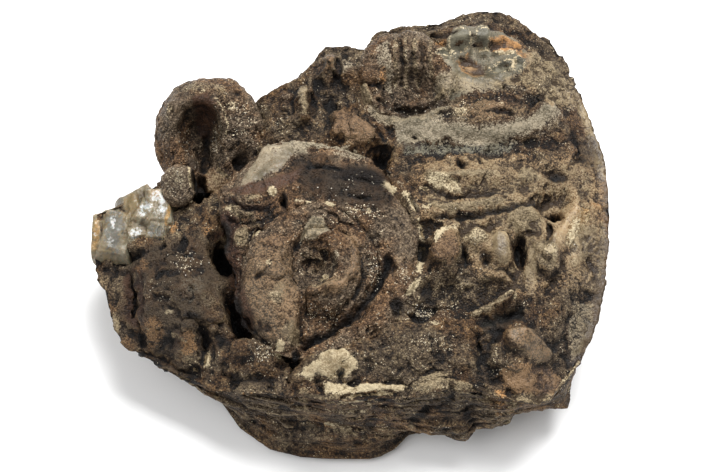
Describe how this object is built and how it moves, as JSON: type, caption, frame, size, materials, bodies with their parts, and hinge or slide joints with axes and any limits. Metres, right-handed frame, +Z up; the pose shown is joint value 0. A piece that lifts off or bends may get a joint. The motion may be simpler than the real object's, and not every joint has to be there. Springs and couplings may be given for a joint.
{
  "type": "ammonite fossil plate",
  "caption": "Broken block of dark brown layered stone whose upper face is crowded with coiled ammonite shells, with a patch of quartz crystals at one corner.",
  "frame": {"origin": "on the flat bottom of the block, below the middle of its upper face", "axes": "+X to the right along the block's length, +Y to its back edge, +Z up out of the fossil face"},
  "size_m": [0.1003, 0.0855, 0.0329],
  "materials": {
    "matrix_stone": "rough, gritty, dark brown, with fine glinting crystals",
    "fossil_shell": "worn, smooth to gritty brown calcite and chalcedony",
    "pale_shell": "pale, silky and slightly translucent",
    "quartz": "cloudy white quartz with ochre stains"
  },
  "bodies": {
    "root": {"matrix": "matrix_stone", "large_ammonite": "fossil_shell", "open_ammonite": "fossil_shell", "ribbed_ammonite": "fossil_shell", "small_ammonite": "fossil_shell", "shell_piece": "pale_shell", "quartz_crystals": "quartz"}
  },
  "joints": []
}
